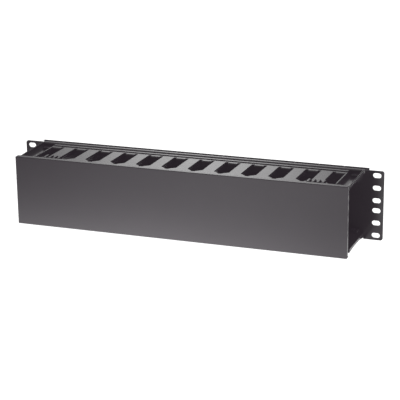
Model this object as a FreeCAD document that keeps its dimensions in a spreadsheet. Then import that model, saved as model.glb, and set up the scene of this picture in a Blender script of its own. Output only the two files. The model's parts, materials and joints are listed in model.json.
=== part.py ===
import FreeCAD, Part
import math
import os
import Sketcher
from FreeCAD import Placement, Rotation, Vector

# Horizontal cable manager for a 19-inch rack, two rack units high, with fingers along its top
# and bottom and a front cover that opens upwards or downwards.
#
# The origin is the centre of the rack-slot pattern on the back face of the ears. X runs along
# the panel, Y runs back into the rack and Z is up. A distance "out" is measured forward from the
# front face of the steel panel. The lower half repeats the upper half, turned over about Y.

SIZES = {
    # steel bracket
    "panel_width": 482.6,
    "panel_height": 88.1,
    "steel": 1.5,
    "ear_width": 24.5,
    "ear_corner": 3.0,
    "fold_radius": 1.0,
    "flange_reach": 9.1,
    "flange_drop": 0.6,
    "relief_width": 0.3,
    "relief_depth": 4.6,
    # rack slots
    "slot_column_spacing": 465.1,
    "slot_level_inner": 6.35,
    "slot_level_middle": 22.225,
    "slot_level_outer": 38.1,
    "slot_length": 10.4,
    "slot_width": 6.4,
    # cable windows in the steel
    "window_width": 70.0,
    "window_height": 40.0,
    "window_corner": 6.0,
    "window_pitch": 88.0,
    "window_count": 4,
    # finger strips
    "strip_length": 396.6,
    "strip_level": 41.6,
    "strip_wall": 2.5,
    "strip_apron": 12.6,
    "web_out": 11.0,
    "ledge_rise": 0.7,
    "groove_out": 4.0,
    "groove_width": 3.0,
    "groove_depth": 0.9,
    "finger_count": 11,
    "finger_pitch": 34.6,
    "finger_width": 15.0,
    "finger_edge": 1.0,
    "neck_out": 54.5,
    "shoulder_out": 60.5,
    "head_out": 66.0,
    "head_width": 29.6,
    "head_corner": 1.5,
    "lip_width": 23.6,
    "lip_drop": 5.5,
    "lip_wall": 2.0,
    "neck_fillet": 1.5,
    "rib_wall": 2.0,
    "rib_depth": 8.0,
    "rib_tip_depth": 2.5,
    "tongue_width": 12.0,
    "tongue_flat": 2.8,
    "tongue_bend": 2.2,
    "tongue_tail": 5.4,
    "tongue_wall": 1.8,
    "blade_wall": 1.6,
    "blade_out": 62.0,
    "blade_tip_depth": 6.0,
    "blade_corner": 3.0,
    # screws and their bosses
    "strip_screw_count": 3,
    "strip_screw_level": 34.4,
    "boss_diameter": 8.6,
    "boss_out": 13.0,
    "screw_diameter": 3.4,
    "strip_screw_length": 12.5,
    "guide_screw_length": 9.5,
    "screw_point": 1.2,
    "screw_head_diameter": 7.0,
    "screw_head_height": 2.3,
    "screw_head_bevel": 0.8,
    "recess_width": 0.9,
    "recess_length": 3.8,
    "recess_depth": 1.3,
    "screw_play": 0.4,
    "pilot_play": 0.05,
    # hinges of the cover
    "hinge_out": 58.0,
    "hinge_level": 38.5,
    "rod_diameter": 3.0,
    "rod_play": 0.05,
    "rod_chamfer": 0.4,
    "bar_pitch": 6.2,
    "bar_count": 4,
    "slit_width": 3.2,
    "slit_back": 3.0,
    "comb_root": 2.0,
    "mouth_flare": 0.2,
    "mouth_round": 1.4,
    "bar_level": 43.5,
    "bar_out": 61.5,
    "bar_chin": 3.2,
    "bar_nose": 3.0,
    "arm_wall": 1.8,
    "eye_radius": 2.5,
    "arm_rise": 1.0,
    "clip_width": 25.0,
    "clip_wall": 2.0,
    "clip_height": 13.0,
    # front cover
    "cover_width": 434.0,
    "cover_height": 88.9,
    "cover_out": 78.4,
    "cover_wall": 2.2,
    "cover_rim_wall": 1.8,
    "cover_rim_depth": 6.9,
    "cover_end_depth": 4.7,
    "cover_edge": 0.8,
    "cover_corner": 1.0,
    # end guides
    "guide_gap": 0.3,
    "guide_half_width": 217.0,
    "guide_wall": 2.0,
    "exit_half_height": 33.9,
    "flare_height": 10.0,
    "flare_radius": 9.6,
    "lower_flare_height": 6.4,
    "lower_flare_radius": 6.0,
    "rim_fall": 2.0,
    "rim_groove_width": 1.0,
    "rim_groove_depth": 1.2,
    "guide_out": 66.0,
    "lug_width": 9.4,
    "lug_height": 8.5,
    "lug_out": 10.0,
    "lug_offset": 207.3,
    "lug_level": 34.75,
    "lug_slot_width": 2.7,
    "lug_slot_depth": 1.5,
    "lug_slot_offset": 208.4,
    # edging on the folded flanges
    "trim_grip": 3.5,
    "trim_rise": 0.4,
    "trim_wall": 1.4,
    "trim_back": 1.2,
    "trim_round": 0.5,
    "trim_notch_pitch": 31.4,
    "trim_notch_count": 13,
    "trim_notch_width": 0.8,
    "trim_overhang": 3.2,
}


class Size:
    """A length with the formula, in the sheet's names, that it comes from."""

    def __init__(self, value, formula):
        self.value = value
        self.formula = formula

    def __float__(self):
        return float(self.value)

    def __neg__(self):
        return Size(-self.value, "-(%s)" % self.formula)

    def __add__(self, other):
        other = as_size(other)
        return Size(self.value + other.value, "(%s + %s)" % (self.formula, other.formula))

    def __sub__(self, other):
        other = as_size(other)
        return Size(self.value - other.value, "(%s - %s)" % (self.formula, other.formula))

    def __mul__(self, factor):
        factor = as_size(factor)
        return Size(self.value * factor.value, "(%s * %s)" % (self.formula, factor.formula))

    def __truediv__(self, factor):
        factor = as_size(factor)
        return Size(self.value / factor.value, "(%s / %s)" % (self.formula, factor.formula))


def as_size(number):
    """Give a plain number the form of a Size."""
    if isinstance(number, Size):
        return number
    return Size(number, "%.6g" % number)


class Sheet:
    """The spreadsheet of driving sizes: each name is an attribute that holds a Size."""

    def __init__(self, document):
        table = document.addObject("Spreadsheet::Sheet", "Sizes")
        for row, (alias, value) in enumerate(SIZES.items(), start=1):
            table.set("A%d" % row, alias)
            table.set("B%d" % row, str(value))
            table.setAlias("B%d" % row, alias)
            setattr(self, alias, Size(value, "Sizes.%s" % alias))
        document.recompute()


doc = FreeCAD.newDocument("horizontal_cable_manager")
s = Sheet(doc)

# Lines that several sub-parts share
HALF_CHANNEL = s.panel_width / 2 - s.ear_width
FLANGE_LEVEL = s.panel_height / 2 - s.flange_drop
HINGE_OFFSET = s.finger_pitch * ((s.finger_count - 1) / 2)
STRIP_SCREW_PITCH = s.finger_pitch * 4
HALF_STRIP = s.strip_length / 2
ROD_HOLE_RADIUS = s.rod_diameter / 2 + s.rod_play
PILOT_RADIUS = s.screw_diameter / 2 + s.pilot_play
COMB_WIDTH = s.bar_pitch * s.bar_count - s.slit_width
COVER_INSIDE_OUT = s.cover_out - s.cover_wall
STRIP_UNDERSIDE = s.strip_level - s.strip_wall


def front(out):
    """Y of a place that lies a distance out in front of the panel's front face."""
    return -(s.steel + out)


# Sketches


def new_body(label, placement=None):
    """Start a sub-part with its own label and place."""
    body = doc.addObject("PartDesign::Body", label)
    body.Label = label
    if placement is not None:
        body.Placement = placement
    return body


def new_sketch(body, plane, name, offset=None):
    """Attach a sketch to one of the body's own origin planes, shifted along its normal."""
    sketch = body.newObject("Sketcher::SketchObject", name)
    support = [f for f in body.Origin.OriginFeatures if f.Role == plane][0]
    sketch.AttachmentSupport = [(support, "")]
    sketch.MapMode = "FlatFace"
    if offset is not None:
        sketch.AttachmentOffset = Placement(Vector(0, 0, float(offset)), Rotation())
        sketch.setExpression("AttachmentOffset.Base.z", offset.formula)
    return sketch


def constrain(sketch, kind, *arguments, size=None):
    """Add a constraint; its size, if it has one, follows the sheet."""
    if size is None:
        sketch.addConstraint(Sketcher.Constraint(kind, *arguments))
        return
    size = as_size(size)
    index = sketch.addConstraint(Sketcher.Constraint(kind, *arguments, float(size)))
    sketch.setExpression("Constraints[%d]" % index, size.formula)


def place_point(sketch, geometry, end, x, y):
    """Fix a point of a sketch at its distances from the sketch's origin."""
    constrain(sketch, "DistanceX", -1, 1, geometry, end, size=x)
    constrain(sketch, "DistanceY", -1, 1, geometry, end, size=y)


def rounding(before, corner, after, radius):
    """Return the arc that rounds a corner, where it starts and stops, and its ends' numbers."""
    way_in = (corner - before).normalize()
    way_out = (after - corner).normalize()
    turns_left = way_in.x * way_out.y - way_in.y * way_out.x > 0
    trim = radius * math.tan(way_in.getAngle(way_out) / 2)
    first = corner - way_in * trim
    last = corner + way_out * trim
    inward = Vector(-way_in.y, way_in.x, 0) * (radius if turns_left else -radius)
    circle = Part.Circle(first + inward, Vector(0, 0, 1), radius)
    start, stop = (first, last) if turns_left else (last, first)
    arc = Part.ArcOfCircle(circle, circle.parameter(start), circle.parameter(stop))
    return arc, first, last, (1, 2) if turns_left else (2, 1)


def draw_outline(sketch, corners, closed=True):
    """Draw lines through the corners; a corner is (x, y), or (x, y, radius) where it is round."""
    count = len(corners)
    points = [Vector(float(c[0]), float(c[1]), 0) for c in corners]
    stops = list(points)
    starts = list(points)
    arcs = {}
    for i, corner in enumerate(corners):
        if len(corner) == 3:
            found = rounding(points[i - 1], points[i], points[(i + 1) % count], float(corner[2]))
            arcs[i] = (sketch.addGeometry(found[0]), found[3])
            stops[i] = found[1]
            starts[i] = found[2]
    spans = count if closed else count - 1
    lines = []
    for i in range(spans):
        lines.append(sketch.addGeometry(Part.LineSegment(starts[i], stops[(i + 1) % count])))
    for i, corner in enumerate(corners):
        incoming = lines[i - 1] if closed or i > 0 else None
        outgoing = lines[i] if closed or i < count - 1 else None
        if i in arcs:
            arc, (first, last) = arcs[i]
            vertex = sketch.addGeometry(Part.Point(points[i]), True)
            constrain(sketch, "Tangent", incoming, 2, arc, first)
            constrain(sketch, "Tangent", arc, last, outgoing, 1)
            constrain(sketch, "PointOnObject", vertex, 1, incoming)
            constrain(sketch, "PointOnObject", vertex, 1, outgoing)
            constrain(sketch, "Radius", arc, size=corner[2])
            place_point(sketch, vertex, 1, corner[0], corner[1])
            continue
        if incoming is not None and outgoing is not None:
            constrain(sketch, "Coincident", incoming, 2, outgoing, 1)
        if outgoing is not None:
            place_point(sketch, outgoing, 1, corner[0], corner[1])
        else:
            place_point(sketch, incoming, 2, corner[0], corner[1])


def draw_rectangle(sketch, left, right, low, high, radius=None):
    """Draw a rectangle by its sides, with round corners where a radius is given."""
    corners = [(left, low), (right, low), (right, high), (left, high)]
    if radius is not None:
        corners = [corner + (radius,) for corner in corners]
    draw_outline(sketch, corners)


def draw_circle(sketch, x, y, radius):
    """Draw a circle by its centre and radius."""
    circle = sketch.addGeometry(Part.Circle(Vector(float(x), float(y), 0), Vector(0, 0, 1), float(radius)))
    place_point(sketch, circle, 3, x, y)
    constrain(sketch, "Radius", circle, size=radius)


def draw_stadium(sketch, x, y, length, width):
    """Draw a slot that lies along x, with half-round ends."""
    radius = width / 2
    reach = length / 2 - radius
    up = Vector(0, float(radius), 0)
    ends = [Vector(float(x - reach), float(y), 0), Vector(float(x + reach), float(y), 0)]
    left, right = [Part.Circle(end, Vector(0, 0, 1), float(radius)) for end in ends]
    quarter = math.pi / 2
    left_arc = sketch.addGeometry(Part.ArcOfCircle(left, quarter, 3 * quarter))
    right_arc = sketch.addGeometry(Part.ArcOfCircle(right, -quarter, quarter))
    bottom = sketch.addGeometry(Part.LineSegment(ends[0] - up, ends[1] - up))
    top = sketch.addGeometry(Part.LineSegment(ends[1] + up, ends[0] + up))
    constrain(sketch, "Tangent", left_arc, 2, bottom, 1)
    constrain(sketch, "Tangent", bottom, 2, right_arc, 1)
    constrain(sketch, "Tangent", right_arc, 2, top, 1)
    constrain(sketch, "Tangent", top, 2, left_arc, 1)
    constrain(sketch, "Radius", left_arc, size=radius)
    place_point(sketch, left_arc, 3, x - reach, y)
    place_point(sketch, right_arc, 3, x + reach, y)


# Features


def settle(feature, body):
    """Make a feature the body's tip and compute it."""
    body.Tip = feature
    doc.recompute()
    return feature


def add_pad(body, sketch, length, backwards=False, middle=False):
    """Raise a sketch along its normal, against it, or to both sides of it."""
    pad = body.newObject("PartDesign::Pad", sketch.Name + "Pad")
    pad.Profile = sketch
    pad.SideType = "Symmetric" if middle else "One side"
    pad.Reversed = backwards
    pad.Length = float(length)
    pad.setExpression("Length", length.formula)
    return settle(pad, body)


def cut(pocket, body):
    """Compute a cut and see that it took material away."""
    before = body.Shape.Volume
    settle(pocket, body)
    if not body.Shape.Volume < before - 1e-6:
        raise RuntimeError("%s cut nothing" % pocket.Name)
    return pocket


def add_cut_through(body, sketch):
    """Cut a sketch right through the body, both ways."""
    pocket = body.newObject("PartDesign::Pocket", sketch.Name + "Cut")
    pocket.Profile = sketch
    pocket.Type = "ThroughAll"
    pocket.SideType = "Symmetric"
    return cut(pocket, body)


def add_cut(body, sketch, depth, backwards=False, middle=False):
    """Cut a sketch to a depth, against its normal unless backwards."""
    pocket = body.newObject("PartDesign::Pocket", sketch.Name + "Cut")
    pocket.Profile = sketch
    pocket.SideType = "Symmetric" if middle else "One side"
    pocket.Reversed = backwards
    pocket.Length = float(depth)
    pocket.setExpression("Length", depth.formula)
    return cut(pocket, body)


def add_pattern(body, features, sketch, count, pitch):
    """Repeat features along the sketch's horizontal axis."""
    pattern = body.newObject("PartDesign::LinearPattern", features[0].Name + "Row")
    pattern.Originals = features
    pattern.Direction = (sketch, ["H_Axis"])
    pattern.Mode = "Spacing"
    pattern.Offset = float(pitch)
    pattern.setExpression("Offset", pitch.formula)
    pattern.Occurrences = int(float(count))
    pattern.setExpression("Occurrences", count.formula)
    return settle(pattern, body)


def add_mirror(body, features, plane):
    """Repeat features on the other side of one of the body's origin planes."""
    mirror = body.newObject("PartDesign::Mirrored", features[0].Name + "Twin")
    mirror.Originals = features
    support = [f for f in body.Origin.OriginFeatures if f.Role == plane][0]
    mirror.MirrorPlane = (support, [""])
    return settle(mirror, body)


def add_fillet(body, base, radius, wanted):
    """Round the edges of the base that the test named wanted picks."""
    names = ["Edge%d" % (i + 1) for i, edge in enumerate(base.Shape.Edges) if wanted(edge)]
    fillet = body.newObject("PartDesign::Fillet", base.Name + "Round")
    fillet.Base = (base, names)
    fillet.Radius = float(radius)
    fillet.setExpression("Radius", radius.formula)
    return settle(fillet, body)


# Places of a sub-part and its repeats


def turned_over():
    """The place of a lower or left twin: half a turn about Y."""
    return Placement(Vector(0, 0, 0), Rotation(Vector(0, 1, 0), 180))


def shift_along(body, x):
    """Move a body along the panel by a size from the sheet."""
    body.setExpression("Placement.Base.x", as_size(x).formula)


def shift_up(body, z):
    """Move a body up by a size from the sheet."""
    body.setExpression("Placement.Base.z", as_size(z).formula)


# Steel bracket


def make_bracket():
    """Fold the panel: a channel with rearward flanges, and an ear at each end."""
    body = new_body("mounting_bracket")
    top = FLANGE_LEVEL
    under = FLANGE_LEVEL - s.steel
    outer_fold = s.fold_radius + s.steel
    origin = as_size(0)
    channel = new_sketch(body, "YZ_Plane", "BracketChannel")
    draw_outline(channel, [
        (-s.steel, -top, outer_fold),
        (s.flange_reach, -top),
        (s.flange_reach, -under),
        (origin, -under, s.fold_radius),
        (origin, under, s.fold_radius),
        (s.flange_reach, under),
        (s.flange_reach, top),
        (-s.steel, top, outer_fold),
    ])
    add_pad(body, channel, HALF_CHANNEL * 2, middle=True)

    ear = new_sketch(body, "XZ_Plane", "BracketEar")
    edge = s.panel_height / 2
    notch = edge - s.relief_depth
    outside = s.panel_width / 2
    inside = HALF_CHANNEL + s.relief_width
    draw_outline(ear, [
        (HALF_CHANNEL, -notch),
        (inside, -notch),
        (inside, -edge),
        (outside, -edge, s.ear_corner),
        (outside, edge, s.ear_corner),
        (inside, edge),
        (inside, notch),
        (HALF_CHANNEL, notch),
    ])
    ear_pad = add_pad(body, ear, s.steel)
    add_mirror(body, [ear_pad], "YZ_Plane")

    slots = new_sketch(body, "XZ_Plane", "BracketSlots")
    for level in (s.slot_level_inner, s.slot_level_middle, s.slot_level_outer):
        for z in (level, -level):
            draw_stadium(slots, s.slot_column_spacing / 2, z, s.slot_length, s.slot_width)
    slots_cut = add_cut_through(body, slots)
    add_mirror(body, [slots_cut], "YZ_Plane")

    window = new_sketch(body, "XZ_Plane", "BracketWindow")
    first = -s.window_pitch * ((s.window_count - 1) / 2)
    half = s.window_width / 2
    rise = s.window_height / 2
    draw_rectangle(window, first - half, first + half, -rise, rise, s.window_corner)
    window_cut = add_cut(body, window, s.steel * 2, middle=True)
    add_pattern(body, [window_cut], window, s.window_count, s.window_pitch)

    holes = new_sketch(body, "XZ_Plane", "BracketScrewHoles")
    radius = s.screw_diameter / 2 + s.screw_play
    for x, z in screw_places():
        draw_circle(holes, x, z, radius)
    add_cut(body, holes, s.steel * 2, middle=True)
    return body


def strip_screw_offsets():
    """X of each screw of a finger strip."""
    middle = (int(float(s.strip_screw_count)) - 1) / 2
    return [STRIP_SCREW_PITCH * (i - middle) for i in range(int(float(s.strip_screw_count)))]


def screw_places():
    """X and Z of every screw: the two strips' first, then the four end guides'."""
    places = []
    for x in strip_screw_offsets():
        places += [(x, s.strip_screw_level), (x, -s.strip_screw_level)]
    for x in (-s.lug_offset, s.lug_offset):
        places += [(x, s.lug_level), (x, -s.lug_level)]
    return places


# Finger strips


def make_strip(label, placement):
    """Mould one strip: web and apron, fingers with T-shaped heads, tongues, blades and combs."""
    body = new_body(label, placement)
    add_strip_web(body, label)
    add_fingers(body, label)
    add_tongues(body, label)
    add_blades(body, label)
    add_combs(body, label)
    add_bosses(body, label)
    return body


def add_strip_web(body, label):
    """Lay the web along the panel, with its apron against the steel and a ledge and a groove on top."""
    web = new_sketch(body, "YZ_Plane", label + "_web")
    level = s.strip_level
    ledge = s.strip_level + s.ledge_rise
    bottom = s.strip_level - s.groove_depth
    draw_outline(web, [
        (front(as_size(0)), ledge),
        (front(s.groove_out), ledge),
        (front(s.groove_out), bottom),
        (front(s.groove_out + s.groove_width), bottom),
        (front(s.groove_out + s.groove_width), level),
        (front(s.web_out), level, s.finger_edge),
        (front(s.web_out), STRIP_UNDERSIDE),
        (front(s.strip_wall), STRIP_UNDERSIDE),
        (front(s.strip_wall), s.strip_level - s.strip_apron),
        (front(as_size(0)), s.strip_level - s.strip_apron),
    ])
    add_pad(body, web, s.strip_length, middle=True)


def add_fingers(body, label):
    """Build the first finger, then repeat it along the strip."""
    centre = -HINGE_OFFSET
    half = s.finger_width / 2
    neck = new_sketch(body, "XZ_Plane", label + "_neck", s.steel + s.web_out - s.finger_edge)
    draw_outline(neck, [
        (centre - half, STRIP_UNDERSIDE),
        (centre + half, STRIP_UNDERSIDE),
        (centre + half, s.strip_level),
        (centre - half, s.strip_level),
    ])
    neck_pad = add_pad(body, neck, s.neck_out - s.web_out + s.finger_edge * 2)

    head = new_sketch(body, "XY_Plane", label + "_head", s.strip_level)
    wide = s.head_width / 2
    draw_outline(head, [
        (centre - half, front(s.neck_out - s.neck_fillet)),
        (centre - half, front(s.neck_out), s.neck_fillet),
        (centre - wide, front(s.shoulder_out), s.head_corner),
        (centre - wide, front(s.head_out), s.head_corner),
        (centre + wide, front(s.head_out), s.head_corner),
        (centre + wide, front(s.shoulder_out), s.head_corner),
        (centre + half, front(s.neck_out), s.neck_fillet),
        (centre + half, front(s.neck_out - s.neck_fillet)),
    ])
    head_pad = add_pad(body, head, s.strip_wall, backwards=True)

    lip = new_sketch(body, "YZ_Plane", label + "_lip", centre)
    draw_rectangle(lip, front(s.head_out), front(s.head_out - s.lip_wall),
                   s.strip_level - s.lip_drop, s.strip_level - s.strip_wall / 2)
    lip_pad = add_pad(body, lip, s.lip_width, middle=True)

    rib = new_sketch(body, "YZ_Plane", label + "_rib", centre)
    draw_outline(rib, [
        (front(s.strip_wall / 2), STRIP_UNDERSIDE - s.rib_depth),
        (front(s.strip_wall / 2), STRIP_UNDERSIDE + s.strip_wall / 2),
        (front(s.neck_out), STRIP_UNDERSIDE + s.strip_wall / 2),
        (front(s.neck_out), STRIP_UNDERSIDE - s.rib_tip_depth),
        (front(s.boss_out), STRIP_UNDERSIDE - s.rib_depth),
    ])
    rib_pad = add_pad(body, rib, s.rib_wall, middle=True)
    add_pattern(body, [neck_pad, head_pad, lip_pad, rib_pad], neck, s.finger_count, s.finger_pitch)


def add_tongues(body, label):
    """Curl a tongue down at the root of every slot, so that no cable bends over a sharp edge."""
    tongue = new_sketch(body, "YZ_Plane", label + "_tongue", -HINGE_OFFSET - s.finger_pitch / 2)
    root = s.web_out - s.finger_edge
    tip = root + s.tongue_flat + s.tongue_bend
    low = s.strip_level - s.tongue_bend - s.tongue_tail
    draw_outline(tongue, [
        (front(root), s.strip_level),
        (front(tip), s.strip_level, s.tongue_bend),
        (front(tip), low),
        (front(tip - s.tongue_wall), low),
        (front(tip - s.tongue_wall), s.strip_level - s.tongue_wall, s.tongue_bend - s.tongue_wall),
        (front(root), s.strip_level - s.tongue_wall),
    ])
    tongue_pad = add_pad(body, tongue, s.tongue_width, middle=True)
    row = new_sketch(body, "XZ_Plane", label + "_row")
    add_pattern(body, [tongue_pad], row, s.finger_count + 1, s.finger_pitch)


def add_blades(body, label):
    """Close each end of the strip with a thin upright blade."""
    blade = new_sketch(body, "YZ_Plane", label + "_blade", HALF_STRIP)
    draw_outline(blade, [
        (front(as_size(0)), s.strip_level - s.strip_apron),
        (front(as_size(0)), s.strip_level),
        (front(s.blade_out), s.strip_level, s.blade_corner),
        (front(s.blade_out), s.strip_level - s.blade_tip_depth),
        (front(s.web_out), s.strip_level - s.strip_apron),
    ])
    blade_pad = add_pad(body, blade, s.blade_wall, backwards=True)
    add_mirror(body, [blade_pad], "YZ_Plane")


def add_combs(body, label):
    """Give the two hinge fingers a comb of bars whose mouths hold a hinge rod."""
    centre = -HINGE_OFFSET
    half = COMB_WIDTH / 2
    beyond = front(s.head_out + s.lip_wall)
    clearing = new_sketch(body, "XY_Plane", label + "_clearing")
    draw_rectangle(clearing, centre - half, centre + half, beyond, front(s.bar_out))
    clearing_cut = add_cut(body, clearing, s.panel_height, backwards=True)

    bar = new_sketch(body, "YZ_Plane", label + "_bar", centre)
    root = front(s.neck_out - s.comb_root)
    draw_outline(bar, [
        (root, s.strip_level - s.finger_edge),
        (front(s.neck_out + s.bar_nose), s.bar_level, s.bar_nose / 2),
        (front(s.bar_out), s.bar_level, s.bar_nose),
        (front(s.bar_out), s.hinge_level - s.bar_chin, s.bar_nose / 2),
        (front(s.hinge_out - s.bar_nose), s.hinge_level - s.bar_chin),
        (root, STRIP_UNDERSIDE),
    ])
    bar_pad = add_pad(body, bar, COMB_WIDTH, middle=True)

    mouth = new_sketch(body, "YZ_Plane", label + "_mouth", centre)
    back = front(s.hinge_out - ROD_HOLE_RADIUS)
    wide = ROD_HOLE_RADIUS + s.mouth_flare
    draw_outline(mouth, [
        (beyond, s.hinge_level - wide),
        (back, s.hinge_level - ROD_HOLE_RADIUS, s.mouth_round),
        (back, s.hinge_level + ROD_HOLE_RADIUS, s.mouth_round),
        (beyond, s.hinge_level + wide),
    ])
    mouth_cut = add_cut(body, mouth, COMB_WIDTH + s.finger_edge, middle=True)

    slits = new_sketch(body, "XY_Plane", label + "_slits")
    for i in range(int(float(s.bar_count)) - 1):
        x = centre + s.bar_pitch * (i - (float(s.bar_count) - 2) / 2)
        draw_rectangle(slits, x - s.slit_width / 2, x + s.slit_width / 2,
                       beyond, front(s.hinge_out - s.slit_back))
    slits_cut = add_cut(body, slits, s.panel_height, backwards=True)
    add_mirror(body, [clearing_cut, bar_pad, mouth_cut, slits_cut], "YZ_Plane")


def add_bosses(body, label):
    """Stand a boss on the apron for each screw, with its pilot hole."""
    bosses = new_sketch(body, "XZ_Plane", label + "_bosses", s.steel + s.strip_wall / 2)
    pilots = new_sketch(body, "XZ_Plane", label + "_pilots", s.steel)
    for x in strip_screw_offsets():
        draw_circle(bosses, x, s.strip_screw_level, s.boss_diameter / 2)
        draw_circle(pilots, x, s.strip_screw_level, PILOT_RADIUS)
    add_pad(body, bosses, s.boss_out - s.strip_wall / 2)
    add_cut(body, pilots, s.boss_out - s.finger_edge, backwards=True)


# Front cover and its hinges


def make_cover():
    """Mould the cover: a flat panel with a rim turned back all round, deeper at top and bottom."""
    body = new_body("front_cover")
    half = s.cover_width / 2
    rise = s.cover_height / 2
    panel = new_sketch(body, "XZ_Plane", "CoverPanel", s.steel + s.cover_out)
    draw_rectangle(panel, -half, half, -rise, rise, s.cover_corner)
    panel_pad = add_pad(body, panel, s.cover_rim_depth, backwards=True)
    face = float(front(s.cover_out))
    add_fillet(body, panel_pad, s.cover_edge, lambda edge: abs(edge.BoundBox.YMin - face) < 1e-6
               and abs(edge.BoundBox.YMax - face) < 1e-6)

    inside = new_sketch(body, "XZ_Plane", "CoverInside", s.steel + COVER_INSIDE_OUT)
    wide = half - s.cover_rim_wall
    high = rise - s.cover_rim_wall
    draw_rectangle(inside, -wide, wide, -high, high)
    add_cut(body, inside, s.cover_rim_depth)

    ends = new_sketch(body, "XZ_Plane", "CoverEnds", s.steel + s.cover_out - s.cover_end_depth)
    beyond = half + s.cover_rim_wall
    draw_rectangle(ends, wide - s.cover_rim_wall, beyond, -high, high)
    draw_rectangle(ends, -beyond, s.cover_rim_wall - wide, -high, high)
    add_cut(body, ends, s.cover_rim_depth)
    return body


def make_hinge_clip(label, placement, x):
    """Mould a clip: a plate on the cover's back with three arms whose eyes hold the rod."""
    body = new_body(label, placement)
    plate = new_sketch(body, "XZ_Plane", label + "_plate", s.steel + COVER_INSIDE_OUT)
    top = s.cover_height / 2 - s.cover_rim_wall - s.guide_gap
    half = s.clip_width / 2
    draw_rectangle(plate, -half, half, top - s.clip_height, top)
    add_pad(body, plate, s.clip_wall, backwards=True)

    centre = s.bar_pitch * ((s.bar_count - 2) / 2)
    arm = new_sketch(body, "YZ_Plane", label + "_arm", -centre)
    axis = front(s.hinge_out)
    low = s.hinge_level - s.eye_radius
    back = axis + s.eye_radius
    bend = s.eye_radius - s.rod_play
    root = front(COVER_INSIDE_OUT - s.clip_wall / 2)
    draw_outline(arm, [
        (root, low),
        (back, low, bend),
        (back, s.hinge_level + s.eye_radius, bend),
        (axis - s.eye_radius, s.hinge_level + s.eye_radius, bend / 2),
        (axis - s.eye_radius, s.hinge_level + s.arm_rise),
        (root, s.hinge_level + s.arm_rise),
    ])
    arm_pad = add_pad(body, arm, s.arm_wall, middle=True)
    eye = new_sketch(body, "YZ_Plane", label + "_eye", -centre)
    draw_circle(eye, axis, s.hinge_level, ROD_HOLE_RADIUS)
    eye_cut = add_cut(body, eye, s.arm_wall * 2, middle=True)
    add_pattern(body, [arm_pad, eye_cut], plate, s.bar_count - 1, s.bar_pitch)
    shift_along(body, x)
    return body


def make_hinge_rod(label, placement, x):
    """Turn a hinge rod, chamfered at both ends."""
    body = new_body(label, placement)
    section = new_sketch(body, "YZ_Plane", label + "_section")
    draw_circle(section, front(s.hinge_out), s.hinge_level, s.rod_diameter / 2)
    rod = add_pad(body, section, COMB_WIDTH, middle=True)
    chamfer = body.newObject("PartDesign::Chamfer", label + "_chamfer")
    names = ["Edge%d" % (i + 1) for i, edge in enumerate(rod.Shape.Edges)
             if abs(edge.BoundBox.XMax - edge.BoundBox.XMin) < 1e-6]
    chamfer.Base = (rod, names)
    chamfer.Size = float(s.rod_chamfer)
    chamfer.setExpression("Size", s.rod_chamfer.formula)
    settle(chamfer, body)
    shift_along(body, x)
    return body


# End guides


def make_end_guide(label, placement, side, height, radius):
    """Mould one arm of a side exit's bell mouth; side is 1 or -1, and the flare has its own height."""
    body = new_body(label, placement)
    inside = (HALF_STRIP + s.guide_gap) * side
    outside = s.guide_half_width * side
    rim = (s.guide_half_width - s.guide_wall) * side
    crest = s.exit_half_height
    top = s.exit_half_height + height
    floor = s.exit_half_height + s.guide_wall
    section = new_sketch(body, "XZ_Plane", label + "_section", s.steel)
    draw_outline(section, [
        (inside, crest),
        (outside, crest, radius),
        (outside, top),
        (rim, top),
        (rim, floor, radius - s.guide_wall),
        (inside, floor),
    ])
    add_pad(body, section, s.guide_out)

    end = new_sketch(body, "XZ_Plane", label + "_end", s.steel + s.guide_out - s.guide_wall)
    draw_outline(end, [
        (inside, crest),
        (outside, crest, radius),
        (outside, top),
        (rim, top),
        (inside, floor),
    ])
    add_pad(body, end, s.guide_wall)

    fall = new_sketch(body, "YZ_Plane", label + "_fall")
    beyond = front(s.guide_out + s.guide_wall)
    draw_outline(fall, [
        (front(as_size(0)), top),
        (front(s.guide_out), top - s.rim_fall),
        (beyond, top - s.rim_fall),
        (beyond, top + s.guide_wall),
        (front(as_size(0)), top + s.guide_wall),
    ])
    add_cut_through(body, fall)

    groove = new_sketch(body, "YZ_Plane", label + "_groove", (s.guide_half_width - s.guide_wall / 2) * side)
    bottom = top - s.rim_groove_depth
    draw_outline(groove, [
        (front(as_size(0)), bottom),
        (front(s.guide_out), bottom - s.rim_fall),
        (beyond, bottom - s.rim_fall),
        (beyond, top + s.guide_wall),
        (front(as_size(0)), top + s.guide_wall),
    ])
    add_cut(body, groove, s.rim_groove_width, middle=True)
    add_lug(body, label, side)
    return body


def add_lug(body, label, side):
    """Add the block that takes an end guide's screw, slotted along its free side."""
    lug = new_sketch(body, "XZ_Plane", label + "_lug", s.steel)
    half = s.lug_width / 2
    low = s.lug_level - s.lug_height / 2
    high = s.lug_level + s.lug_height / 2
    draw_rectangle(lug, s.lug_offset * side - half, s.lug_offset * side + half, low, high)
    add_pad(body, lug, s.lug_out)
    pilot = new_sketch(body, "XZ_Plane", label + "_pilot", s.steel)
    draw_circle(pilot, s.lug_offset * side, s.lug_level, PILOT_RADIUS)
    add_cut(body, pilot, s.guide_screw_length, backwards=True)
    slot = new_sketch(body, "XZ_Plane", label + "_slot", s.steel)
    half_slot = s.lug_slot_width / 2
    draw_rectangle(slot, s.lug_slot_offset * side - half_slot, s.lug_slot_offset * side + half_slot,
                   low - s.lug_slot_depth, low + s.lug_slot_depth)
    add_cut(body, slot, s.lug_out, backwards=True)


# Edging and screws


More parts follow.
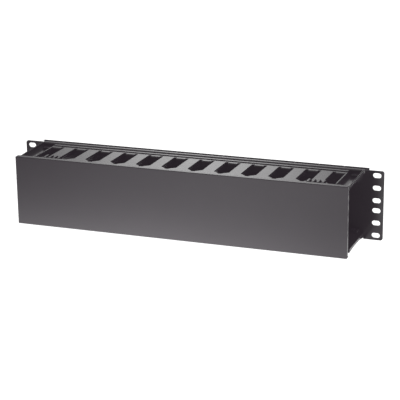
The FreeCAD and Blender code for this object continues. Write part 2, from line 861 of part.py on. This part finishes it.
def make_trim(label, placement):
    """Push a notched edging over the rear edge of a folded flange."""
    body = new_body(label, placement)
    profile = new_sketch(body, "YZ_Plane", label + "_profile")
    mouth = s.flange_reach - s.trim_grip
    back = s.flange_reach + s.trim_back
    top = FLANGE_LEVEL + s.trim_rise
    under = FLANGE_LEVEL - s.steel
    draw_outline(profile, [
        (mouth, FLANGE_LEVEL),
        (mouth, top),
        (back, top, s.trim_round),
        (back, under - s.trim_wall, s.trim_round),
        (mouth, under - s.trim_wall),
        (mouth, under),
        (s.flange_reach, under),
        (s.flange_reach, FLANGE_LEVEL),
    ])
    add_pad(body, profile, (HALF_CHANNEL + s.trim_overhang) * 2, middle=True)
    notch = new_sketch(body, "XZ_Plane", label + "_notch")
    first = -s.trim_notch_pitch * ((s.trim_notch_count - 1) / 2)
    half = s.trim_notch_width / 2
    draw_rectangle(notch, first - half, first + half, FLANGE_LEVEL - s.steel / 2, s.panel_height)
    notch_cut = add_cut(body, notch, s.flange_reach * 2)
    add_pattern(body, [notch_cut], notch, s.trim_notch_count, s.trim_notch_pitch)
    return body


def make_screw(label, length, x, z):
    """Turn a pan-head screw that enters from behind, with a cross recess in its head."""
    body = new_body(label)
    radius = s.screw_diameter / 2
    head = s.screw_head_diameter / 2
    axis = as_size(0)
    profile = new_sketch(body, "YZ_Plane", label + "_profile")
    draw_outline(profile, [
        (-length, axis),
        (s.screw_head_height, axis),
        (s.screw_head_height, head - s.screw_head_bevel),
        (s.screw_head_height - s.screw_head_bevel, head),
        (axis, head),
        (axis, radius),
        (s.screw_point - length, radius),
        (-length, radius / 2),
    ])
    turned = body.newObject("PartDesign::Revolution", label + "_turned")
    turned.Profile = profile
    turned.ReferenceAxis = (profile, ["H_Axis"])
    settle(turned, body)
    recess = new_sketch(body, "XZ_Plane", label + "_recess", -s.screw_head_height)
    narrow = s.recess_width / 2
    wide = s.recess_length / 2
    draw_outline(recess, [
        (narrow, narrow), (narrow, wide), (-narrow, wide), (-narrow, narrow),
        (-wide, narrow), (-wide, -narrow), (-narrow, -narrow), (-narrow, -wide),
        (narrow, -wide), (narrow, -narrow), (wide, -narrow), (wide, narrow),
    ])
    add_cut(body, recess, s.recess_depth, backwards=True)
    shift_along(body, x)
    shift_up(body, z)
    return body


def make_screws():
    """Place the screws of both strips and the four end guides."""
    screws = []
    for row, z in (("upper", s.strip_screw_level), ("lower", -s.strip_screw_level)):
        for number, x in enumerate(strip_screw_offsets(), start=1):
            label = "%s_strip_screw_%d" % (row, number)
            screws.append(make_screw(label, s.strip_screw_length, x, z))
    for row, z in (("upper", s.lug_level), ("lower", -s.lug_level)):
        for side, x in (("left", -s.lug_offset), ("right", s.lug_offset)):
            label = "%s_%s_guide_screw" % (row, side)
            screws.append(make_screw(label, s.guide_screw_length, x, z))
    return screws


def make_hinges():
    """Place a clip and a rod at each of the four hinges."""
    parts = []
    for row, placement in (("upper", Placement()), ("lower", turned_over())):
        for side, x in (("left", -HINGE_OFFSET), ("right", HINGE_OFFSET)):
            parts.append(make_hinge_clip("%s_%s_hinge_clip" % (row, side), placement, x))
            parts.append(make_hinge_rod("%s_%s_hinge_rod" % (row, side), placement, x))
    return parts


def make_end_guides():
    """Place an arm above and below each side exit; the lower ones flare less."""
    upper = (s.flare_height, s.flare_radius)
    lower = (s.lower_flare_height, s.lower_flare_radius)
    return [
        make_end_guide("upper_right_end_guide", Placement(), 1, *upper),
        make_end_guide("upper_left_end_guide", Placement(), -1, *upper),
        make_end_guide("lower_right_end_guide", turned_over(), -1, *lower),
        make_end_guide("lower_left_end_guide", turned_over(), 1, *lower),
    ]


def make_parts():
    """Build every sub-part."""
    parts = [make_bracket(), make_cover()]
    for row, placement in (("upper", Placement()), ("lower", turned_over())):
        parts.append(make_strip("%s_finger_strip" % row, placement))
        parts.append(make_trim("%s_edge_trim" % row, placement))
    return parts + make_end_guides() + make_hinges() + make_screws()


def check(parts):
    """Stop if anything in the document failed."""
    doc.recompute()
    for item in doc.Objects:
        if "Invalid" in item.State or "Error" in item.State:
            raise RuntimeError("%s: %s" % (item.Name, item.State))
    for part in parts:
        if part.Shape.isNull() or not part.Shape.isValid() or not part.Shape.Solids:
            raise RuntimeError("%s has no valid shape" % part.Label)


def export(parts):
    """Write one STEP file for each sub-part."""
    os.makedirs("parts", exist_ok=True)
    for part in parts:
        part.Shape.exportStep("parts/%s.step" % part.Label)
        print("%-28s solids %d volume %10.1f mm3" % (part.Label, len(part.Shape.Solids), part.Shape.Volume))


all_parts = make_parts()
check(all_parts)
export(all_parts)
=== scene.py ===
import json
import math

import bmesh
import bpy
from mathutils import Matrix, Vector


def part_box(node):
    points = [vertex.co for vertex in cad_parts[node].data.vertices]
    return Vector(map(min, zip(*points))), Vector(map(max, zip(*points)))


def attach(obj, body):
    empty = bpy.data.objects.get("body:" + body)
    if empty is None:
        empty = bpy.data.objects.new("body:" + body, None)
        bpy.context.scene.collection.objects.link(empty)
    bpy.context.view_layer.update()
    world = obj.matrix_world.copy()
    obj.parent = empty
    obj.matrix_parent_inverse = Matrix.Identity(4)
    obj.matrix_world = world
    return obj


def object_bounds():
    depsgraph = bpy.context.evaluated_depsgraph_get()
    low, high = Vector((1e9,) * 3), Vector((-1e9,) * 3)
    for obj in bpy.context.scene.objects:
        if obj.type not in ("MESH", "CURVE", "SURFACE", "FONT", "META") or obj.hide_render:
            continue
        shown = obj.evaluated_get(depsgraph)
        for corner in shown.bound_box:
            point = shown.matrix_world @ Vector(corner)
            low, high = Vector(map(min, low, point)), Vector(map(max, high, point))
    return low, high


# Looks of a horizontal cable manager: satin black mouldings, powder-coated steel and a flat
# cover, on a white floor under soft light. Lengths are in metres, in the frame of the CAD model.

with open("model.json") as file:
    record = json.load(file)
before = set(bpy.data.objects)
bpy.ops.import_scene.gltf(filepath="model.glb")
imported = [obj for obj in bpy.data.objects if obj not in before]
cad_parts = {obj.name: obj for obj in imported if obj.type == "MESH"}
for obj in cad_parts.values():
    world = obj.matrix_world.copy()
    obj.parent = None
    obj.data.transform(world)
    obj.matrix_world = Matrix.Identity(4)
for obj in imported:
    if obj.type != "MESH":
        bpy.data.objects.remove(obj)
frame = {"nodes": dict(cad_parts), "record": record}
cad_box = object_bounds()
nodes = frame["nodes"]

ROWS = ("upper", "lower")
SIDES = ("left", "right")

# Camera, fitted to the rack slots in the photograph
CAMERA_AZIMUTH = math.radians(20.638)
CAMERA_ELEVATION = math.radians(17.172)
CAMERA_ROLL = math.radians(-0.667)
CAMERA_DISTANCE = 1.8064
CAMERA_TARGET = Vector((0.0030116, -0.0015, -0.0149574))
CAMERA_LENS = 127.4
CAMERA_SENSOR = 36.0

# Light from all around: strong towards SKY_AIM, weaker beside it, and least in front.
# SKY_TURN is a range of cosines; the centre and half width are measured along SKY_ACROSS.
SKY_FRONT = 0.12
SKY_BACK = 2.25
SKY_AIM = (-0.42, 0.90, 0.10)
SKY_TURN = (0.72, 0.99)
SKY_ACROSS = (0.9354, 0.3536, 0.0)
SKY_CENTRE = 0.003
SKY_HALF_WIDTH = 0.146
SKY_BESIDE = 0.15

# Light from above
TOP_LIGHT_PLACE = (0.0, -0.05, 1.4)
TOP_LIGHT_AIM = (0.0, -0.03, 0.0)
TOP_LIGHT_SIZE = (2.4, 1.2)
TOP_LIGHT_POWER = 5.0

# Floor, which lies below the opened cover
FLOOR_SIZE = 8.0
FLOOR_DROP = 0.046
FLOOR_COLOUR = (0.86, 0.86, 0.86, 1.0)
FLOOR_ROUGHNESS = 0.9
FLOOR_GLOW = 1.16
FLOOR_GLOW_SHARE = 0.84

# Card at the object's foot. In front, its glow falls from NEAR to FAR over BOUNCE_REACH (along Y)
# and fades to both sides; beside and behind the object it is even.
BOUNCE_NEAR = 2.3
BOUNCE_FAR = 1.05
BOUNCE_REACH = (-0.38, -0.080)
BOUNCE_FALL = 3.0
BOUNCE_MIDDLE = -0.01
BOUNCE_HALF_WIDTH = 0.53
BOUNCE_SIDE = 0.8
BOUNCE_SIDE_EDGE = 0.2185
BOUNCE_BEHIND = 0.9
BOUNCE_BEHIND_EDGE = 0.030
BOUNCE_COLOUR = (1.0, 1.0, 1.0, 1.0)

# Painted light: the plastics, powder coat and edging glow faintly in a tint, which lifts their
# deepest shadows
SHADOW_LIFT = {"Emission_Strength": 0.017, "Emission_Color": (1.0, 0.78, 1.0, 1.0)}

# Finishes by material slot. Tone: linear colour, variation, grain and stretch of its noise.
# Gloss: lowest and highest roughness, grain. Bumps: height and grain of each. Edge: radius of
# the rounding that the light shows. Surface: plain values, an underscore stands for a space.
EVEN = (1.0, 1.0, 1.0)
# Painted light: the finishes that take SHADOW_LIFT in their surface values glow faintly.
FINISHES = {
    # Satin black moulded plastic with a fine spark-eroded grain
    "moulded_plastic": {
        "name": "moulded_plastic",
        "tone": ((0.029, 0.0265, 0.0295), 0.06, 0.035, EVEN),
        "gloss": (0.16, 0.22, 0.004),
        "bumps": ((0.000012, 0.0007), (0.00003, 0.02)),
        "edge": 0.0004,
        "surface": {"IOR": 1.5, **SHADOW_LIFT},
    },
    # The cover's large flat face: a finer grain and the slow waves of a moulded sheet
    "cover_plastic": {
        "name": "cover_plastic",
        "tone": ((0.044, 0.0390, 0.0445), 0.04, 0.06, EVEN),
        "gloss": (0.20, 0.26, 0.006),
        "bumps": ((0.000008, 0.0006), (0.00006, 0.07)),
        "edge": 0.0004,
        "surface": {"IOR": 1.5, **SHADOW_LIFT},
    },
    # Black powder coat on steel, with a fine orange peel
    "painted_steel": {
        "name": "powder_coat",
        "tone": ((0.027, 0.0240, 0.0265), 0.05, 0.03, EVEN),
        "gloss": (0.15, 0.21, 0.002),
        "bumps": ((0.00001, 0.0011), (0.000003, 0.0003)),
        "edge": 0.0003,
        "surface": {"IOR": 1.5, **SHADOW_LIFT},
    },
    # Dull black edging
    "edging": {
        "name": "edging_rubber",
        "tone": ((0.013, 0.013, 0.0135), 0.1, 0.01, EVEN),
        "gloss": (0.55, 0.7, 0.003),
        "bumps": ((0.00001, 0.0005),),
        "edge": 0.0002,
        "surface": {"Specular_IOR_Level": 0.2, **SHADOW_LIFT},
    },
    # Black zinc plating on the screws, with turning marks
    "zinc_steel": {
        "name": "black_zinc",
        "tone": ((0.12, 0.118, 0.125), 0.12, 0.0012, (1.0, 0.2, 1.0)),
        "gloss": (0.33, 0.43, 0.0008),
        "bumps": ((0.000006, 0.0004),),
        "edge": 0.0002,
        "surface": {"Metallic": 1.0},
    },
    # Blackened rods, with drawing marks along them
    "rod_steel": {
        "name": "rod_steel",
        "tone": ((0.20, 0.198, 0.205), 0.12, 0.0012, (0.2, 1.0, 1.0)),
        "gloss": (0.27, 0.37, 0.0008),
        "bumps": ((0.000006, 0.0004),),
        "edge": 0.0002,
        "surface": {"Metallic": 1.0},
    },
}
NOISE_RANGE = (0.3, 0.7)
NOISE_DETAIL = 3.0
EDGE_SAMPLES = 6

# Flat tips on the bars of the hinge combs, placed from the axis of the hinge rod
TIP_COUNT = 4
TIP_WIDTH = 0.0030
TIP_BACK = 0.0040
TIP_FRONT = 0.0078
TIP_LOW = 0.0026
TIP_HIGH = 0.0050

# Rib along the web of each finger strip
RIB_BACK = -0.0036
RIB_FRONT = -0.0076
RIB_FOOT = 0.0408
RIB_TOP = 0.04245
RIB_END = 0.0005

# Lip along the flare of each lower end guide, seen from the side: (y, z) along its rim
LIP_TOP = -0.0354
LIP_WALL = 0.0040
LIP_RIM = ((-0.0015, -0.0434), (-0.0150, -0.0410), (-0.0300, -0.0399), (-0.0520, -0.0400),
           (-0.0675, -0.0412))
LIP_BEVEL = 0.0012

BLOCK_BEVEL = 0.0004
BEVEL_SEGMENTS = 3


# Materials


class Nodes:
    """Short ways to add to a node tree. A value is a number or the output of a node."""

    def __init__(self, tree):
        self.tree = tree

    def add(self, kind, **settings):
        node = self.tree.nodes.new(kind)
        for key, value in settings.items():
            setattr(node, key, value)
        return node

    def link(self, source, target):
        self.tree.links.new(source, target)

    def math(self, operation, *values):
        """Calculate with one or two values."""
        node = self.add("ShaderNodeMath", operation=operation)
        for value, socket in zip(values, node.inputs):
            if isinstance(value, bpy.types.NodeSocket):
                self.link(value, socket)
            else:
                socket.default_value = value
        return node.outputs["Value"]

    def span(self, source, start=(0.0, 1.0), end=(0.0, 1.0), smooth=False):
        """Map one range of values to another, and stay within it."""
        curve = "SMOOTHSTEP" if smooth else "LINEAR"
        node = self.add("ShaderNodeMapRange", interpolation_type=curve)
        for key, value in (("From Min", start[0]), ("From Max", start[1]),
                           ("To Min", end[0]), ("To Max", end[1])):
            node.inputs[key].default_value = value
        self.link(source, node.inputs["Value"])
        return node.outputs["Result"]

    def along(self, source, direction):
        """Measure a vector along a direction."""
        node = self.add("ShaderNodeVectorMath", operation="DOT_PRODUCT")
        self.link(source, node.inputs[0])
        node.inputs[1].default_value = direction
        return node.outputs["Value"]

    def show(self, output, seen, other, share=1.0):
        """Show the camera one shader, by a share, and give all other light another."""
        rays = self.add("ShaderNodeLightPath")
        mix = self.add("ShaderNodeMixShader")
        self.link(self.math("MULTIPLY", rays.outputs["Is Camera Ray"], share), mix.inputs["Fac"])
        self.link(other, mix.inputs[1])
        self.link(seen, mix.inputs[2])
        self.link(mix.outputs["Shader"], self.tree.nodes[output].inputs["Surface"])


class Shader(Nodes):
    """A node material that is built up from the surface's own coordinates."""

    def __init__(self, name):
        self.material = bpy.data.materials.new(name)
        self.material.use_nodes = True
        super().__init__(self.material.node_tree)
        self.surface = self.tree.nodes["Principled BSDF"]
        self.coordinates = self.add("ShaderNodeTexCoord").outputs["Object"]

    def set(self, **values):
        """Set plain values on the surface; an underscore stands for a space."""
        for key, value in values.items():
            self.surface.inputs[key.replace("_", " ")].default_value = value

    def noise(self, grain, stretch=EVEN):
        """Noise whose grains are about so many metres across."""
        mapping = self.add("ShaderNodeMapping")
        mapping.inputs["Scale"].default_value = stretch
        self.link(self.coordinates, mapping.inputs["Vector"])
        noise = self.add("ShaderNodeTexNoise")
        noise.inputs["Scale"].default_value = 1.0 / grain
        noise.inputs["Detail"].default_value = NOISE_DETAIL
        self.link(mapping.outputs["Vector"], noise.inputs["Vector"])
        return noise.outputs["Fac"]

    def tone(self, colour, variation, grain, stretch):
        """Colour the surface with a slight variation."""
        ramp = self.add("ShaderNodeValToRGB")
        factors = (1.0 - variation, 1.0 + variation)
        for element, place, factor in zip(ramp.color_ramp.elements, NOISE_RANGE, factors):
            element.position = place
            element.color = tuple(c * factor for c in colour) + (1.0,)
        self.link(self.noise(grain, stretch), ramp.inputs["Fac"])
        self.link(ramp.outputs["Color"], self.surface.inputs["Base Color"])

    def gloss(self, low, high, grain):
        """Vary the roughness over the surface."""
        roughness = self.span(self.noise(grain), NOISE_RANGE, (low, high))
        self.link(roughness, self.surface.inputs["Roughness"])

    def relief(self, bumps, edge):
        """Give the surface bumps, each (height, grain), and slightly rounded edges."""
        bevel = self.add("ShaderNodeBevel", samples=EDGE_SAMPLES)
        bevel.inputs["Radius"].default_value = edge
        normal = bevel.outputs["Normal"]
        for height, grain in bumps:
            bump = self.add("ShaderNodeBump")
            bump.inputs["Strength"].default_value = 1.0
            bump.inputs["Distance"].default_value = height
            self.link(self.noise(grain), bump.inputs["Height"])
            self.link(normal, bump.inputs["Normal"])
            normal = bump.outputs["Normal"]
        self.link(normal, self.surface.inputs["Normal"])


def make_material(finish):
    """Make the material of a finish."""
    shader = Shader(finish["name"])
    shader.set(**finish["surface"])
    shader.tone(*finish["tone"])
    shader.gloss(*finish["gloss"])
    shader.relief(finish["bumps"], finish["edge"])
    return shader.material


def dress(node, material):
    """Give a CAD node its material."""
    mesh = nodes[node].data
    mesh.materials.clear()
    mesh.materials.append(material)


def dress_all():
    """Give every node the material of its slot in the record, and add the finer mouldings."""
    materials = {slot: make_material(finish) for slot, finish in FINISHES.items()}
    for row in frame["record"]["subparts"]:
        dress(row["node"], materials[row["material_slot"]])
    plastic = materials["moulded_plastic"]
    for side in SIDES:
        make_lip(side, plastic)
    for row in ROWS:
        make_rib(row, plastic)
        for side in SIDES:
            make_comb_tips(row, side, plastic)


# Added mouldings


def add_moulding(name, build, bevel, plastic):
    """Add a piece with rounded edges to the plastic that is fixed to the panel."""
    bmesh.ops.recalc_face_normals(build, faces=build.faces)
    mesh = bpy.data.meshes.new(name)
    build.to_mesh(mesh)
    build.free()
    mesh.materials.append(plastic)
    piece = bpy.data.objects.new(name, mesh)
    bpy.context.scene.collection.objects.link(piece)
    rounding = piece.modifiers.new("rounding", "BEVEL")
    rounding.width = bevel
    rounding.segments = BEVEL_SEGMENTS
    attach(piece, "frame")


def add_blocks(name, blocks, plastic):
    """Add slightly rounded blocks, each (low corner, high corner)."""
    build = bmesh.new()
    for low, high in blocks:
        place = Matrix.Translation((low + high) / 2)
        size = Matrix.Diagonal((high - low).to_4d())
        size[3][3] = 1.0
        bmesh.ops.create_cube(build, size=1.0, matrix=place @ size)
    add_moulding(name, build, BLOCK_BEVEL, plastic)


def in_row(row, inner, outer):
    """The two heights, in order, on the upper or the lower side of the panel."""
    return (inner, outer) if row == "upper" else (-outer, -inner)


def make_comb_tips(row, side, plastic):
    """Give each bar of a hinge comb a flat tip, level across the comb and open over the slits."""
    low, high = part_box("%s_%s_hinge_rod" % (row, side))
    axis = (low + high) / 2
    floor, ceiling = in_row(row, abs(axis.z) + TIP_LOW, abs(axis.z) + TIP_HIGH)
    pitch = (high.x - low.x - TIP_WIDTH) / (TIP_COUNT - 1)
    tips = []
    for number in range(TIP_COUNT):
        edge = low.x + pitch * number
        tips.append((Vector((edge, axis.y - TIP_FRONT, floor)),
                     Vector((edge + TIP_WIDTH, axis.y + TIP_BACK, ceiling))))
    add_blocks("%s_%s_comb_tips" % (row, side), tips, plastic)


def make_rib(row, plastic):
    """Lay a rib on the ledge of the strip, along its whole web."""
    low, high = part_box("%s_finger_strip" % row)
    floor, ceiling = in_row(row, RIB_FOOT, RIB_TOP)
    rib = (Vector((low.x + RIB_END, RIB_FRONT, floor)),
           Vector((high.x - RIB_END, RIB_BACK, ceiling)))
    add_blocks("%s_strip_rib" % row, [rib], plastic)


def make_lip(side, plastic):
    """Turn a lower guide's flare down into a lip that deepens towards both of its ends."""
    low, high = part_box("lower_%s_end_guide" % side)
    outside, wall = (high.x, LIP_WALL) if side == "right" else (low.x, -LIP_WALL)
    outline = [(LIP_RIM[-1][0], LIP_TOP), (LIP_RIM[0][0], LIP_TOP)] + list(LIP_RIM)
    build = bmesh.new()
    face = build.faces.new([build.verts.new((outside - wall, y, z)) for y, z in outline])
    swept = bmesh.ops.extrude_face_region(build, geom=[face])
    moved = [item for item in swept["geom"] if isinstance(item, bmesh.types.BMVert)]
    bmesh.ops.translate(build, verts=moved, vec=(wall, 0, 0))
    add_moulding("lower_%s_flare_lip" % side, build, LIP_BEVEL, plastic)


# Stage


def bounce_level(shader):
    """The card's glow: most at the object's foot, less further in front, even beside and behind."""
    axes = shader.add("ShaderNodeSeparateXYZ")
    shader.link(shader.coordinates, axes.inputs["Vector"])
    x, y = axes.outputs["X"], axes.outputs["Y"]
    nearness = shader.math("POWER", shader.span(y, BOUNCE_REACH), BOUNCE_FALL)
    level = shader.span(nearness, end=(BOUNCE_FAR, BOUNCE_NEAR))
    distance = shader.math("ABSOLUTE", shader.math("SUBTRACT", x, BOUNCE_MIDDLE))
    width = shader.span(distance, (0.0, BOUNCE_HALF_WIDTH), (1.0, 0.0), smooth=True)
    in_front = shader.math("LESS_THAN", y, BOUNCE_REACH[1])
    front = shader.math("MULTIPLY", shader.math("MULTIPLY", level, width), in_front)
    at_side = shader.math("GREATER_THAN", x, BOUNCE_SIDE_EDGE)
    behind = shader.math("GREATER_THAN", y, BOUNCE_BEHIND_EDGE)
    around = shader.math("MAXIMUM", shader.math("MULTIPLY", at_side, BOUNCE_SIDE),
                         shader.math("MULTIPLY", behind, BOUNCE_BEHIND))
    return shader.math("MAXIMUM", front, around)


def floor_material():
    """White floor: plain to the camera, but it keeps the object's shadow."""
    shader = Shader("white_floor")
    shader.set(Base_Color=FLOOR_COLOUR, Roughness=FLOOR_ROUGHNESS)
    glow = shader.add("ShaderNodeEmission")
    glow.inputs["Strength"].default_value = FLOOR_GLOW
    shader.show("Material Output", glow.outputs["Emission"], shader.surface.outputs["BSDF"],
                FLOOR_GLOW_SHARE)
    return shader.material


def bounce_material():
    """White card that throws light back."""
    shader = Shader("white_card")
    shader.set(Base_Color=FLOOR_COLOUR, Roughness=FLOOR_ROUGHNESS, Emission_Color=BOUNCE_COLOUR)
    shader.link(bounce_level(shader), shader.surface.inputs["Emission Strength"])
    return shader.material


def add_plane(name, height, material):
    """Lay a wide plane that isn't part of the object."""
    bpy.ops.mesh.primitive_plane_add(size=FLOOR_SIZE, location=(0, 0, height))
    plane = bpy.context.object
    plane.name = name
    plane.data.materials.append(material)
    return plane


def make_floor():
    """Lay the floor, and at the object's foot a card that the camera doesn't see."""
    add_plane("floor", cad_box[0].z - FLOOR_DROP, floor_material())
    card = add_plane("bounce_card", cad_box[0].z, bounce_material())
    card.visible_camera = False
    card.visible_shadow = False


def make_sky():
    """A studio seen by direction: white behind, dark in front; pure white to the camera."""
    world = bpy.data.worlds.new("studio")
    bpy.context.scene.world = world
    world.use_nodes = True
    sky = Nodes(world.node_tree)
    white = world.node_tree.nodes["Background"]
    white.inputs["Color"].default_value = (1, 1, 1, 1)
    direction = sky.add("ShaderNodeTexCoord").outputs["Generated"]
    facing = sky.along(direction, Vector(SKY_AIM).normalized())
    offset = sky.math("SUBTRACT", sky.along(direction, SKY_ACROSS), SKY_CENTRE)
    turn = sky.span(facing, SKY_TURN, smooth=True)
    width = sky.span(sky.math("ABSOLUTE", offset), (0.0, SKY_HALF_WIDTH), (1.0, SKY_BESIDE),
                     smooth=True)
    light = sky.add("ShaderNodeBackground")
    level = sky.span(sky.math("MULTIPLY", turn, width), end=(SKY_FRONT, SKY_BACK))
    sky.link(level, light.inputs["Strength"])
    sky.show("World Output", white.outputs["Background"], light.outputs["Background"])


def make_top_light():
    """Hang a soft rectangular light above the object."""
    data = bpy.data.lights.new("top_light", "AREA")
    data.shape = "RECTANGLE"
    data.size, data.size_y = TOP_LIGHT_SIZE
    data.energy = TOP_LIGHT_POWER
    lamp = bpy.data.objects.new("top_light", data)
    lamp.location = TOP_LIGHT_PLACE
    lamp.rotation_euler = (Vector(TOP_LIGHT_AIM) - lamp.location).to_track_quat("-Z", "Y").to_euler()
    lamp.visible_camera = False
    bpy.context.scene.collection.objects.link(lamp)


def make_camera():
    """Stand the camera where the photograph was taken from."""
    back = Vector((math.sin(CAMERA_AZIMUTH) * math.cos(CAMERA_ELEVATION),
                   -math.cos(CAMERA_AZIMUTH) * math.cos(CAMERA_ELEVATION),
                   math.sin(CAMERA_ELEVATION)))
    level = Vector((math.cos(CAMERA_AZIMUTH), math.sin(CAMERA_AZIMUTH), 0))
    rise = back.cross(level)
    right = level * math.cos(CAMERA_ROLL) + rise * math.sin(CAMERA_ROLL)
    up = rise * math.cos(CAMERA_ROLL) - level * math.sin(CAMERA_ROLL)
    data = bpy.data.cameras.new("camera")
    data.lens = CAMERA_LENS
    data.sensor_width = CAMERA_SENSOR
    camera = bpy.data.objects.new("camera", data)
    turn = Matrix((right, up, back)).transposed().to_4x4()
    camera.matrix_world = Matrix.Translation(CAMERA_TARGET + back * CAMERA_DISTANCE) @ turn
    bpy.context.scene.collection.objects.link(camera)
    bpy.context.scene.camera = camera


dress_all()
make_floor()
make_sky()
make_top_light()
make_camera()
bpy.context.scene.view_settings.view_transform = "Standard"
